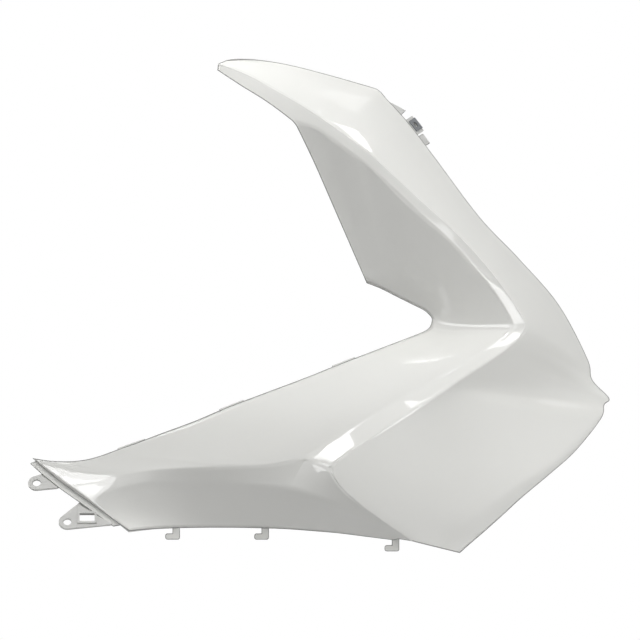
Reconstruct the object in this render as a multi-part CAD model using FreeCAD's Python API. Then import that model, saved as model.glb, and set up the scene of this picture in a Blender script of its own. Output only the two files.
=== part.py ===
import FreeCAD, Part
import math
import os

# Front side panel of a scooter: one thin injection-moulded skin with a sharp crest line,
# a recess behind it, a set-back rear flange with two screw ears, bottom hooks and edge tabs,
# and one spring-steel clip nut pushed onto an edge tab.
# +X points to the front of the vehicle, +Z up, and the outer face looks towards -Y.

# Driving dimensions, millimetres and degrees
WALL = 2.6                 # moulded skin
FLANGE_WALL = 2.2          # rear flange, ears and edge tabs
FLANGE_STEP = 1.8          # how far the flange and tabs lie below the outer face
FLANGE_REACH = 6.0         # rear flange beyond the end of the skin
FLANGE_ROOT = 4.0          # overlap of the flange under the skin
EAR_TILT = 38.0            # ears lean back from the vertical
EAR_END_RADIUS = 8.7
EAR_HOLE_RADIUS = 4.1
WINDOW_LENGTH = 15.0       # rectangular catch window beside the lower ear
WINDOW_HEIGHT = 10.0
WINDOW_RIM = 2.2
WINDOW_RIM_HEIGHT = 1.6
HOOK_STEM = 7.5
HOOK_FOOT = 14.8
HOOK_FOOT_HEIGHT = 6.3
HOOK_GAP = 5.0
HOOK_THICKNESS = 3.2
HOOK_ROOT = 3.0
HOOK_STEP = 0.9            # below the outer face
HOOK_ROUND = 2.4
TAB_ROOT = 3.0
CLIP_SHEET = 0.9           # spring-steel sheet
CLIP_CLEARANCE = 0.15      # between the clip and its tab, each side
CLIP_WIDTH = 13.0
CLIP_LEG = 15.0
CLIP_THREAD_RADIUS = 2.1
CLIP_HUB_WALL = 1.1
CLIP_HUB_HEIGHT = 3.6
CLIP_HOLE_INSET = 8.0      # screw axis from the bend of the clip
SCREW_PASSAGE_RADIUS = 2.9
PARALLEL_TOLERANCE = 1e-6
PLACE_TOLERANCE = 1e-6

# Stations are (across, down, out): millimetres forward and downward from the corner of the drawing
# sheet, and outward from the inner side. An ear has its seat at the rear end, as the place across and
# the depth below the outer face, then its hole and its root, as (across, down) from top to bottom.
UPPER_EAR_SEAT = (57, 7.9)
UPPER_EAR_HOLE = (35.3, 484.3)
UPPER_EAR_ROOT = [(46, 474), (57, 482.5), (60, 487), (56, 489.2)]
LOWER_EAR_SEAT = (84, 10.0)
LOWER_EAR_HOLE = (66.8, 522.8)
LOWER_EAR_ROOT = [(77, 505), (84, 500.5), (116, 524), (109, 525.6)]
WINDOW_CENTRE = (86.5, 519)

# Crest line, from the blade's tip round the front apex and the lower corner to the bottom edge,
# in the stretches along which the inner faces stay the same
BLADE_CREST = [(218.5, 64, 79.5), (248, 75, 84), (273, 89, 87)]
UPPER_CREST = [
    (304, 107, 88), (321, 118.5, 87.7), (338, 130, 87), (355, 143, 86.2), (374, 158, 85), (414, 195, 81),
    (455, 232, 76), (485, 264, 71), (510, 297, 66.5),
]
LOWER_CREST = [
    (525.5, 323, 63), (519, 339, 64), (498, 355, 67), (460, 380, 72), (438, 394.5, 74.7), (415, 409, 77),
    (378, 433, 80), (345, 455, 82),
]
CHEEK_CREST = [(331, 470, 82), (346, 493, 80), (378, 517, 76), (412, 541, 70)]
CREST = BLADE_CREST + UPPER_CREST + LOWER_CREST + CHEEK_CREST
BEND = len(BLADE_CREST)
APEX = BEND + len(UPPER_CREST)
CORNER = APEX + len(LOWER_CREST)

# Outer edge opposite each crest station: station, bulge of the band, width and drop of its edge fold
OUTER_EDGE = [
    ((227, 60.6, 77), 0.0, 2, 0.5), ((255, 59.8, 71), 1.0, 3, 1), ((290, 65, 61), 2.0, 6, 6.6),
    ((332, 75.4, 49), 3.0, 6, 6.6), ((366, 84.9, 38), 3.0, 6, 6.3), ((378.5, 88.9, 35), 3.0, 6, 6.5),
    ((387, 98.3, 35), 3.0, 6, 6.6), ((408, 121.5, 35), 3.0, 6, 7), ((434, 155.5, 37), 3.0, 6, 7.2),
    ((480, 217, 42), 2.5, 6, 8.5), ((520, 259, 34), 3.0, 6, 8), ((560, 305, 21), 3.5, 6, 6.6),
    ((589, 359, 9), 2.0, 6, 4.8), ((594, 380, 6), -4.0, 4, 2), ((611, 398.5, 4), -6.5, 9, 2.8),
    ((606.2, 405.5, 6), -5.0, 6, 2), ((602.5, 419.5, 12), -2.5, 6, 4),
    ((576, 452, 27), 1.0, 8, 6), ((548, 476.5, 40), 3.0, 11, 7),
    ((522, 498, 49), 4.0, 15, 7), ((500, 518, 54), 4.0, 18, 7), ((483, 533, 57), 3.0, 19, 6),
    ((470, 544, 59), 2.0, 18, 4), ((460, 553, 60), 1.0, 14, 3),
]
BAND_SHARES = [0.0, 0.28, 0.55, 0.8, 1.0]
LEAST_FOLD_SHARE = 0.6

# Foot of the narrow strip that runs inside the crest
STRIP_FOOT = [
    (217.5, 70.5, 78), (241, 86, 82.5), (268, 103, 85), (295, 123.5, 84.5), (315, 128.5, 85), (334, 141.5, 84.5),
    (351, 154, 83.6), (368, 166, 82.4), (406, 203, 79), (448, 240, 74), (472, 266, 69), (495, 291.5, 64.5),
    (513, 324, 58.5), (508, 333, 58), (489, 346, 59), (447, 373, 63), (424, 386.5, 65.6), (401, 399, 68), (361, 421, 71.5),
    (331, 441, 72), (306, 457, 71),
]
# Rim of the notch, from the foot of the straight rear edge to the inner end of the valley
NOTCH = [
    (367, 283, 5), (373, 285.2, 5.5), (380, 288, 6), (388, 291.9, 6.5), (397, 296.5, 7), (413, 304.5, 8),
    (424, 310, 9), (430, 315, 10), (432.5, 319, 11), (432, 323, 12),
]
REAR_EDGE = [(295, 123.5, 84.5), (314, 162.5, 64.5), (331, 201, 44.5), (349, 242, 24.5), (367, 283, 5)]
VALLEY = [(513, 324, 58.5), (493, 325, 48), (473, 326, 36.5), (453, 326, 24.5), (432, 323, 12)]
# Upper edge of the lower leg, and the soft ridge below it
LEG_EDGE = [
    (432, 323, 12), (429.5, 328, 13), (421, 333, 16), (387, 346, 30), (366, 354, 35.5), (345, 362, 40), (305, 378, 46),
    (265, 393, 50), (228, 407, 51.5), (195, 421, 51), (160, 434, 47), (125, 447, 39), (80, 461, 25),
    (31, 459, 8),
]
RIDGE = [(306, 457, 71), (271, 465, 68.5), (225, 467, 65), (180, 468, 59), (135, 472, 49), (70, 490, 28)]
LEG_END = [(70, 490, 28), (60, 483, 23), (50.5, 475.5, 18), (40.5, 467.5, 13), (31, 459, 8)]
LEG_BULGE = 2.0
# Lower bend of the leg, and the bottom edge under it, both from the rear end
SWEEP = [
    (86, 501, 35), (135, 483, 50), (180, 482, 52.5), (225, 483, 56), (262, 485.5, 58), (289, 489, 60.5),
    (316, 497, 64), (338, 506, 66), (368, 521.5, 65), (399, 539, 63.5),
]
BOTTOM_EDGE = [
    (129, 531, 52), (165, 529, 40), (198, 528.5, 31), (228, 528.5, 27), (258, 529, 26), (287, 530, 27),
    (315, 532, 31), (340, 534, 38), (368, 537.3, 48), (394, 540.3, 59),
]
REAR_END = LEG_END[::-1] + [SWEEP[0], BOTTOM_EDGE[0]]
HOOKS = [(175.8, 529, 37), (265, 529.3, 26.2), (395.6, 540.2, 59.4)]    # stems at the bottom edge

# Where along the rear end, across, the flange's root and its free edge start and stop
FLANGE_ROOT_RUN = (35.2, 123.5)
FLANGE_EDGE_RUN = (31, 115.7)

# Tabs on the front edge: place across, then the outline as (forward along the edge, inward)
STAY_TAB = (394.3, [(-11, 0), (-11, 1), (11, 18), (11, 0)])
CLIP_TAB = (412, [(-9.5, 0), (-9.5, 20), (9.5, 20), (9.5, 0)])
LOCATING_TAB = (422.4, [(-6, 0), (-6, 15), (6, 15), (6, 0)])
TAB_LEAN = 28.0
# Lugs behind the upper edge of the leg: place across, and length
LUGS = [(345, 25), (231.5, 26), (128.9, 30)]
LUG_REACH = 9.0
LUG_LEAN = 20.0
LUG_ROOT = 1.0


def ear_station(seat, point):
    """Station in the middle of an ear's thickness, on the plane that leans back through its seat."""
    seat_across, depth = seat
    i = 0
    while i < len(REAR_END) - 2 and REAR_END[i + 1][0] < seat_across:
        i += 1
    a, b = REAR_END[i], REAR_END[i + 1]
    share = (seat_across - a[0]) / (b[0] - a[0])
    seat_down = a[1] + (b[1] - a[1]) * share
    seat_out = a[2] + (b[2] - a[2]) * share - depth
    across, down = point
    return (across, down, seat_out + math.tan(math.radians(EAR_TILT)) * (down - seat_down))


# The middle of the lower ear's hole is the origin.
ORIGIN = ear_station(LOWER_EAR_SEAT, LOWER_EAR_HOLE)


def place(station):
    across, down, out = station
    return FreeCAD.Vector(across - ORIGIN[0], ORIGIN[2] - out, ORIGIN[1] - down)


def places(stations):
    return [place(station) for station in stations]


def between(a, b, share):
    return a + (b - a) * share


def rail(points):
    """Points with their slopes: central differences, and a parabola's slope at each end."""
    if len(points) == 2:
        slopes = [points[1] - points[0]] * 2
    else:
        inner = [(points[i + 1] - points[i - 1]) * 0.5 for i in range(1, len(points) - 1)]
        first = (points[1] - points[0]) * 2 - inner[0]
        last = (points[-1] - points[-2]) * 2 - inner[-1]
        slopes = [first] + inner + [last]
    return list(zip(points, slopes))


def reverse(stations):
    return [(point, slope * -1) for point, slope in reversed(stations)]


def spline_poles(stations):
    """Poles of the smooth cubic through a rail's stations, two at each inner station."""
    point, slope = stations[0]
    poles = [point, point + slope / 3]
    for point, slope in stations[1:-1]:
        poles += [point - slope / 3, point + slope / 3]
    point, slope = stations[-1]
    return poles + [point - slope / 3, point]


def along_rail(stations, place_on):
    """Point and direction on a rail, with place_on counted in stations."""
    i = min(int(place_on), len(stations) - 2)
    (a, slope_a), (b, slope_b) = stations[i], stations[i + 1]
    curve = Part.BezierCurve()
    curve.setPoles([a, a + slope_a / 3, b - slope_b / 3, b])
    return curve.value(place_on - i), curve.tangent(place_on - i)[0]


def find_on_rail(stations, across):
    """Place on a rail, counted in stations, that lies at a distance across."""
    target = across - ORIGIN[0]
    ends = [stations[0][0].x, stations[-1][0].x]
    low, high = (0.0, len(stations) - 1.0) if ends[0] < ends[1] else (len(stations) - 1.0, 0.0)
    while abs(high - low) > PLACE_TOLERANCE:
        half = (low + high) / 2
        if along_rail(stations, half)[0].x < target:
            low = half
        else:
            high = half
    return (low + high) / 2


def patch(rails):
    """Face of the smooth surface through rails that lie side by side."""
    rows = [spline_poles(rail(list(row))) for row in zip(*[spline_poles(stations) for stations in rails])]
    u_counts = [4] + [2] * (len(rails[0]) - 2) + [4]
    v_counts = [4] + [2] * (len(rails) - 2) + [4]
    surface = Part.BSplineSurface()
    surface.buildFromPolesMultsKnots(
        rows, u_counts, v_counts, [float(i) for i in range(len(u_counts))],
        [float(i) for i in range(len(v_counts))], False, False, 3, 3)
    return surface.toShape()


def band_grid():
    """Rows across the outer band: crest, three inner stations, fold line and outer edge."""
    grid = []
    for crest, (edge, bulge, fold, drop) in zip(places(CREST), OUTER_EDGE):
        edge = place(edge)
        width = math.hypot(edge.x - crest.x, edge.z - crest.z)
        fold_line = between(crest, edge, max(LEAST_FOLD_SHARE, 1 - fold / width))
        fold_line.y = edge.y - drop
        row = []
        for share in BAND_SHARES:
            point = between(crest, fold_line, share)
            point.y -= bulge * 4 * share * (1 - share)
            row.append(point)
        grid.append(row + [edge])
    return grid


def ruled_grid(near, far):
    return [[a, b] for a, b in zip(near, far)]


def blended_grid(start, end, near, far, bulge):
    """Grid between four rails that share corners: near and far run along it, start and end across."""
    rows, columns = len(near) - 1, len(start) - 1
    grid = []
    for i in range(rows + 1):
        u = i / rows
        row = []
        for j in range(columns + 1):
            v = j / columns
            corners = between(between(near[0], far[0], v), between(near[-1], far[-1], v), u)
            point = between(near[i], far[i], v) + between(start[j], end[j], u) - corners
            point.y -= bulge * 16 * u * (1 - u) * v * (1 - v)
            row.append(point)
        grid.append(row)
    return grid


def skin_grids():
    """Points of the outer face, one grid for each part of it that ends at a bend."""
    crest = places(CREST)
    foot = places(STRIP_FOOT)
    ridge = places(RIDGE)
    sweep = places(SWEEP)
    turn = len(ridge) - 1
    recess = blended_grid(places(REAR_EDGE), places(VALLEY), foot[BEND:APEX + 1], places(NOTCH), 0)
    leg_foot = foot[APEX:CORNER] + ridge
    leg = blended_grid(places(VALLEY), places(LEG_END), leg_foot, places(LEG_EDGE), LEG_BULGE)
    return {
        "band": band_grid(),
        "strip": ruled_grid(crest, foot),
        "recess": recess,
        "leg": leg,
        "shoulder": ruled_grid(ridge[::-1], sweep),
        "corner": ruled_grid([foot[CORNER], crest[CORNER]], sweep[turn:]),
        "cheek": ruled_grid(crest[CORNER:], sweep[turn + 1:]),
        "under": ruled_grid(sweep, places(BOTTOM_EDGE)),
    }


def columns(grid):
    return [rail(list(column)) for column in zip(*grid)]


def cut(rails, first, last):
    return [stations[first:last + 1] for stations in rails]


def skin_faces(grids):
    """Faces that meet edge to edge: every bend line is one rail, shared by the faces beside it."""
    band, recess, leg = columns(grids["band"]), columns(grids["recess"]), columns(grids["leg"])
    sweep, bottom = columns(grids["under"])
    blade_foot = columns(grids["strip"][:BEND + 1])[1]
    crest, leg_foot = band[0], leg[0]
    turn = CORNER - APEX
    end = len(crest) - 1
    faces = [patch(cut(band, a, b)) for a, b in ((0, BEND), (BEND, APEX), (APEX, CORNER), (CORNER, end))]
    faces.append(patch([crest[:BEND + 1], blade_foot]))
    faces.append(patch([crest[BEND:APEX + 1], recess[0]]))
    faces.append(patch([crest[APEX:CORNER + 1], leg_foot[:turn + 1]]))
    faces.append(patch(recess))
    faces.append(patch(cut(leg, 0, turn)))
    faces.append(patch(cut(leg, turn, len(leg_foot) - 1)))
    ridge = reverse(leg_foot[turn:])
    corner = rail([leg_foot[turn][0], crest[CORNER][0]])
    first = 0
    for upper in (ridge, corner, crest[CORNER:]):
        last = first + len(upper)
        faces.append(patch([upper, sweep[first:last]]))
        faces.append(patch([sweep[first:last], bottom[first:last]]))
        first = last - 1
    return faces


def key(point):
    return (round(point.x, 4), round(point.y, 4), round(point.z, 4))


def outward_normals(grids):
    """Unit normals of all grid cells, gathered at the points that share them."""
    gathered = {}
    for grid in grids.values():
        for upper, lower in zip(grid, grid[1:]):
            for j in range(len(upper) - 1):
                cell = [upper[j], lower[j], lower[j + 1], upper[j + 1]]
                normal = (cell[2] - cell[0]).cross(cell[3] - cell[1]).normalize()
                if normal.y > 0:
                    normal = normal * -1
                for point in cell:
                    gathered.setdefault(key(point), []).append(normal)
    return gathered


def set_back(grids, depth):
    """The same grids moved inward by depth, measured square to the faces that meet at each point."""
    gathered = outward_normals(grids)

    def moved(point):
        normals = gathered[key(point)]
        mean = FreeCAD.Vector()
        for normal in normals:
            mean = mean + normal
        mean.normalize()
        share = sum(mean.dot(normal) for normal in normals) / len(normals)
        return point - mean * (depth / share)

    return {name: [[moved(point) for point in row] for row in grid] for name, grid in grids.items()}


def middle(edge):
    return key(edge.valueAt((edge.FirstParameter + edge.LastParameter) / 2))


def moulded_wall(grids, faces_of, depth):
    """Closed solid of the given thickness behind faces that meet edge to edge."""
    outer = faces_of(grids)
    inner = faces_of(set_back(grids, depth))
    met = [middle(edge) for face in outer for edge in face.Edges]
    rim = []
    for outer_face, inner_face in zip(outer, inner):
        for outer_edge, inner_edge in zip(outer_face.Edges, inner_face.Edges):
            if met.count(middle(outer_edge)) == 1:
                rim.append(Part.makeRuledSurface(outer_edge, inner_edge))
    shell = Part.makeShell(outer + inner + rim)
    shell.sewShape()
    solid = Part.makeSolid(shell)
    if solid.Volume < 0:
        solid.reverse()
    return solid


def plate(points, direction, depth):
    """Flat plate: a closed outline carried along a direction."""
    return Part.Face(Part.makePolygon(points + points[:1])).extrude(direction * depth)


def runs_along(edge, direction):
    """True for a straight edge that lies along a direction, either way round."""
    return abs(abs(edge.tangentAt(edge.FirstParameter).dot(direction)) - 1) < PARALLEL_TOLERANCE


def rear_end():
    """Stations of the skin's rear end, from its upper corner to its lower one."""
    return rail(places(REAR_END))


def rear_flange():
    """Strip along the rear end, set below the outer face and reaching past it."""
    end = rear_end()
    line = end[-1][0] - end[0][0]
    rearward = FreeCAD.Vector(line.z, 0, -line.x).normalize()
    outward = line.cross(rearward).normalize()
    if outward.y > 0:
        outward = outward * -1
    spans = len(end) - 1
    grid = []
    for n in range(spans + 1):
        row = []
        for run, reach in ((FLANGE_ROOT_RUN, -FLANGE_ROOT), (FLANGE_EDGE_RUN, FLANGE_REACH)):
            first, last = [find_on_rail(end, across) for across in run]
            point = along_rail(end, first + (last - first) * n / spans)[0]
            row.append(point - outward * FLANGE_STEP + rearward * reach)
        grid.append(row)
    return moulded_wall({"flange": grid}, lambda grids: [patch(columns(grids["flange"]))], FLANGE_WALL)


EAR_OUTWARD = FreeCAD.Vector(0, -math.cos(math.radians(EAR_TILT)), math.sin(math.radians(EAR_TILT)))
EAR_UP = FreeCAD.Vector(0, math.sin(math.radians(EAR_TILT)), math.cos(math.radians(EAR_TILT)))


def tangent_point(centre, point, side):
    """Where the line from a point of the root touches the ear's round end, on its upper or lower side."""
    reach = point - centre
    angle = side * math.acos(EAR_END_RADIUS / reach.Length)
    turned = FreeCAD.Rotation(EAR_OUTWARD, math.degrees(angle)).multVec(reach)
    return centre + turned.normalize() * EAR_END_RADIUS


def ear(seat, hole, root):
    centre = place(ear_station(seat, hole))
    points = [place(ear_station(seat, point)) for point in root]
    outline = [tangent_point(centre, points[0], 1)] + points + [tangent_point(centre, points[-1], -1)]
    face = EAR_OUTWARD * (FLANGE_WALL / 2)
    web = plate([point + face for point in outline], EAR_OUTWARD * -1, FLANGE_WALL)
    end = Part.makeCylinder(EAR_END_RADIUS, FLANGE_WALL, centre + face, EAR_OUTWARD * -1)
    return end.fuse(web)


def ear_hole(seat, hole):
    start = place(ear_station(seat, hole)) + EAR_OUTWARD * FLANGE_WALL
    return Part.makeCylinder(EAR_HOLE_RADIUS, 3 * FLANGE_WALL, start, EAR_OUTWARD * -1)


def window_block(length, height, above, below):
    """Block about the window's centre, from above to below the middle of the lower ear."""
    centre = place(ear_station(LOWER_EAR_SEAT, WINDOW_CENTRE)) + EAR_OUTWARD * above
    across = FreeCAD.Vector(length / 2, 0, 0)
    up = EAR_UP * (height / 2)
    corners = [centre - across - up, centre + across - up, centre + across + up, centre - across + up]
    return plate(corners, EAR_OUTWARD * -1, above + below)


def hook(station):
    """J-shaped hook: a stem below the bottom edge and a foot that points to the rear."""
    top = place(station) + FreeCAD.Vector(0, HOOK_STEP, 0)
    left, right = -HOOK_STEM / 2, HOOK_STEM / 2
    toe = right - HOOK_FOOT
    heel = -HOOK_GAP - HOOK_FOOT_HEIGHT
    heel_corners = [(right, heel), (toe, heel), (toe, -HOOK_GAP)]
    outline = [(left, HOOK_ROOT), (right, HOOK_ROOT)] + heel_corners + [(left, -HOOK_GAP)]
    inward = FreeCAD.Vector(0, 1, 0)
    body = plate([top + FreeCAD.Vector(x, 0, z) for x, z in outline], inward, HOOK_THICKNESS)
    corners = [key(top + FreeCAD.Vector(x, HOOK_THICKNESS / 2, z)) for x, z in heel_corners]
    rounded = [edge for edge in body.Edges if key(edge.CenterOfMass) in corners]
    return body.makeFillet(HOOK_ROUND, rounded)


def edge_frame(stations, across, lean):
    """Axes of a plate that leaves an edge: along it, inward with a lean, and the plate's outer side."""
    point, along = along_rail(stations, find_on_rail(stations, across))
    along.normalize()
    aside = FreeCAD.Vector(-along.z, 0, along.x).normalize()
    if aside.z < 0:
        aside = aside * -1
    tilt = math.radians(lean)
    leaning = FreeCAD.Vector(0, math.cos(tilt), 0) + aside * math.sin(tilt)
    reach = (leaning - along * leaning.dot(along)).normalize()
    outer = along.cross(reach)
    if outer.dot(aside) < 0:
        outer = outer * -1
    return point - outer * FLANGE_STEP, along, reach, outer


def edge_plate(frame, outline, root):
    """Plate on an edge, with its root sunk into the skin's wall."""
    point, along, reach, outer = frame
    shifted = [(s, q if q > 0 else -root) for s, q in outline]
    return plate([point + along * s + reach * q for s, q in shifted], outer * -1, FLANGE_WALL)


def lug(leg_edge, across, length):
    frame = edge_frame(leg_edge, across, LUG_LEAN)
    outline = [(-length / 2, 0), (-length / 2, LUG_REACH), (length / 2, LUG_REACH), (length / 2, 0)]
    return edge_plate(frame, outline, LUG_ROOT)


def front_edge():
    return rail([place(edge) for edge, bulge, fold, drop in OUTER_EDGE])


def clip_frame():
    return edge_frame(front_edge(), CLIP_TAB[0], TAB_LEAN)


def screw_axis(start, radius, length):
    """Cylinder on the clip's screw axis, from a height above the tab's outer side downwards."""
    point, along, reach, outer = clip_frame()
    end = max(q for s, q in CLIP_TAB[1])
    centre = point + reach * (end - CLIP_HOLE_INSET) + outer * start
    return Part.makeCylinder(radius, length, centre, outer * -1)


def clip_nut():
    """U-shaped spring nut: two legs over the tab, joined at its free end, and a threaded hub behind."""
    point, along, reach, outer = clip_frame()
    end = max(q for s, q in CLIP_TAB[1]) + CLIP_CLEARANCE

    def block(half, q_start, q_end, top, depth):
        outline = [(-half, q_start), (-half, q_end), (half, q_end), (half, q_start)]
        return plate([point + along * s + reach * q + outer * top for s, q in outline], outer * -1, depth)

    slot = FLANGE_WALL + 2 * CLIP_CLEARANCE
    face = CLIP_CLEARANCE + CLIP_SHEET
    body = block(CLIP_WIDTH / 2, end - CLIP_LEG, end + CLIP_SHEET, face, slot + 2 * CLIP_SHEET)
    bend = [edge for edge in body.Edges
            if runs_along(edge, along) and (edge.CenterOfMass - point).dot(reach) > end]
    body = body.makeFillet(CLIP_SHEET, bend)
    body = body.cut(block(CLIP_WIDTH, end - 2 * CLIP_LEG, end, CLIP_CLEARANCE, slot))
    back = -FLANGE_WALL - CLIP_CLEARANCE
    hub = CLIP_SHEET + CLIP_HUB_HEIGHT
    body = body.fuse(screw_axis(back, CLIP_THREAD_RADIUS + CLIP_HUB_WALL, hub))
    thread = screw_axis(back + CLIP_CLEARANCE, CLIP_THREAD_RADIUS, 2 * hub)
    passage = screw_axis(2 * face, SCREW_PASSAGE_RADIUS, 2 * face + FLANGE_WALL / 2)
    return body.cut([thread, passage]).removeSplitter()


def panel():
    body = moulded_wall(skin_grids(), skin_faces, WALL)
    leg_edge = rail(places(LEG_EDGE))
    edge = front_edge()
    half = FLANGE_WALL / 2
    frame = window_block(WINDOW_LENGTH + 2 * WINDOW_RIM, WINDOW_HEIGHT + 2 * WINDOW_RIM,
                         half + WINDOW_RIM_HEIGHT, half)
    added = [rear_flange(), ear(UPPER_EAR_SEAT, UPPER_EAR_HOLE, UPPER_EAR_ROOT),
             ear(LOWER_EAR_SEAT, LOWER_EAR_HOLE, LOWER_EAR_ROOT), frame]
    added += [hook(station) for station in HOOKS]
    added += [lug(leg_edge, across, length) for across, length in LUGS]
    for across, outline in (STAY_TAB, CLIP_TAB, LOCATING_TAB):
        added.append(edge_plate(edge_frame(edge, across, TAB_LEAN), outline, TAB_ROOT))
    body = body.fuse(added)
    opening = window_block(WINDOW_LENGTH, WINDOW_HEIGHT, FLANGE_WALL + WINDOW_RIM_HEIGHT, FLANGE_WALL)
    passage = screw_axis(FLANGE_WALL, SCREW_PASSAGE_RADIUS, 3 * FLANGE_WALL)
    holes = [ear_hole(UPPER_EAR_SEAT, UPPER_EAR_HOLE), ear_hole(LOWER_EAR_SEAT, LOWER_EAR_HOLE)]
    return body.cut(holes + [opening, passage])


os.makedirs("parts", exist_ok=True)
for name, shape in (("panel", panel()), ("clip_nut", clip_nut())):
    print(name, shape.isValid(), len(shape.Solids), round(shape.Volume))
    shape.exportStep("parts/" + name + ".step")
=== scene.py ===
import math

import bpy
import numpy as np
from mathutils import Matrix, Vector


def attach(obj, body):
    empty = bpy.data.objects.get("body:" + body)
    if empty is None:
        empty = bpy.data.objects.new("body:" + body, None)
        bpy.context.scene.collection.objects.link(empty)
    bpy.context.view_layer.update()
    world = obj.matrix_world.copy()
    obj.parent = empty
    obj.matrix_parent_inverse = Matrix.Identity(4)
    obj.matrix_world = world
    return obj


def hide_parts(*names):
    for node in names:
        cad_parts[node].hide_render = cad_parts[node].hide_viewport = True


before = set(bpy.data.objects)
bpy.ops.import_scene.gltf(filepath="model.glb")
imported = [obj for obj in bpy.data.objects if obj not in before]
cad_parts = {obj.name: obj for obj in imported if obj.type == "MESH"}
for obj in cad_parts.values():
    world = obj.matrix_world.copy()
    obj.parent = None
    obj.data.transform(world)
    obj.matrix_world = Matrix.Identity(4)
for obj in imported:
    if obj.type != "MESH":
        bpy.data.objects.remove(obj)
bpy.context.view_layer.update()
print("stage: frame loaded")

# Sizes of the pieces are in millimetres; those of lamps, floor and camera are in metres.
unit = 0.001
# Stations are (across, down, out), as in the construction of the part; this one is the frame's origin.
sheetOrigin = (66.8, 522.8, 42.2313)


def place(stations):
    # stations in the frame: X is across, Y is inward and Z is up from the origin
    s = np.asarray(stations, float)
    across, down, out = sheetOrigin
    return np.stack([s[..., 0] - across, out - s[..., 2], down - s[..., 1]], -1)


def slopesOf(points):
    # central differences, and a parabola's slope at each end
    if len(points) == 2:
        return np.stack([points[1] - points[0]] * 2)
    inner = (points[2:] - points[:-2]) / 2
    first = 2 * (points[1] - points[0]) - inner[0]
    last = 2 * (points[-1] - points[-2]) - inner[-1]
    return np.concatenate([first[None], inner, last[None]])


def along(points, t):
    # smooth cubic through stations: each t takes the cubic weights of the two stations beside it
    slope = slopesOf(points)
    i = np.minimum(t.astype(int), len(points) - 2)
    f = (t - i).reshape((-1,) + (1,) * (points.ndim - 1))
    near = (1 + 2 * f) * (1 - f) ** 2 * points[i] + f * (1 - f) ** 2 * slope[i]
    return near + f * f * (3 - 2 * f) * points[i + 1] + f * f * (f - 1) * slope[i + 1]


def surface(grid, u, v):
    # smooth cubics along one way of the grid, then along the other
    rows = along(grid, u)
    return along(rows.swapaxes(0, 1), v).swapaxes(0, 1)


def ruled(near, far, v):
    # straight lines between two rails
    return near[:, None] + (far - near)[:, None] * v[None, :, None]


def blended(start, end, near, far, bulge):
    # surface between four rails: the two ways across added, less the flat through the corners,
    # with a bulge that is whole in the middle and nothing on the rails
    u = np.linspace(0, 1, len(near))[:, None, None]
    v = np.linspace(0, 1, len(start))[None, :, None]
    acrossLines = near[:, None] * (1 - v) + far[:, None] * v
    alongLines = start[None] * (1 - u) + end[None] * u
    corners = (near[0] * (1 - v) + far[0] * v) * (1 - u) + (near[-1] * (1 - v) + far[-1] * v) * u
    grid = acrossLines + alongLines - corners
    grid[..., 1] -= (bulge * 16 * u * (1 - u) * v * (1 - v))[..., 0]
    return grid


def unitVector(v):
    # a direction divided by its length
    return np.asarray(v) / np.linalg.norm(v)


def quadsOf(rows, columns, start):
    # the four corner numbers of every cell of a grid
    i = start + np.arange(rows * columns).reshape(rows, columns)
    return np.stack([i[:-1, :-1], i[1:, :-1], i[1:, 1:], i[:-1, 1:]], -1).reshape(-1, 4)


def meshPiece(name, points, faces, materials, smooth=True):
    # mesh at the origin, in metres
    mesh = bpy.data.meshes.new(name)
    mesh.from_pydata((np.asarray(points) * unit).tolist(), [], [list(map(int, face)) for face in faces])
    mesh.polygons.foreach_set("use_smooth", [smooth] * len(mesh.polygons))
    for material in materials:
        mesh.materials.append(material)
    piece = bpy.data.objects.new(name, mesh)
    bpy.context.collection.objects.link(piece)
    return piece


def addWall(piece, thickness):
    # wall on the inner side of a surface
    wall = piece.modifiers.new("wall", "SOLIDIFY")
    wall.thickness = thickness * unit
    wall.offset = -1
    return wall


edgeBevel = {"width": 0.7, "segments": 2, "angle": 50.0}


def addBevel(piece):
    # small bevel on the sharp edges, in the last material of the piece: the dark grey that paints shade along
    # edges
    bevel = piece.modifiers.new("bevel", "BEVEL")
    bevel.width = edgeBevel["width"] * unit
    bevel.segments = edgeBevel["segments"]
    bevel.limit_method = "ANGLE"
    bevel.angle_limit = math.radians(edgeBevel["angle"])
    bevel.harden_normals = True
    bevel.material = len(piece.data.materials) - 1


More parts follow.
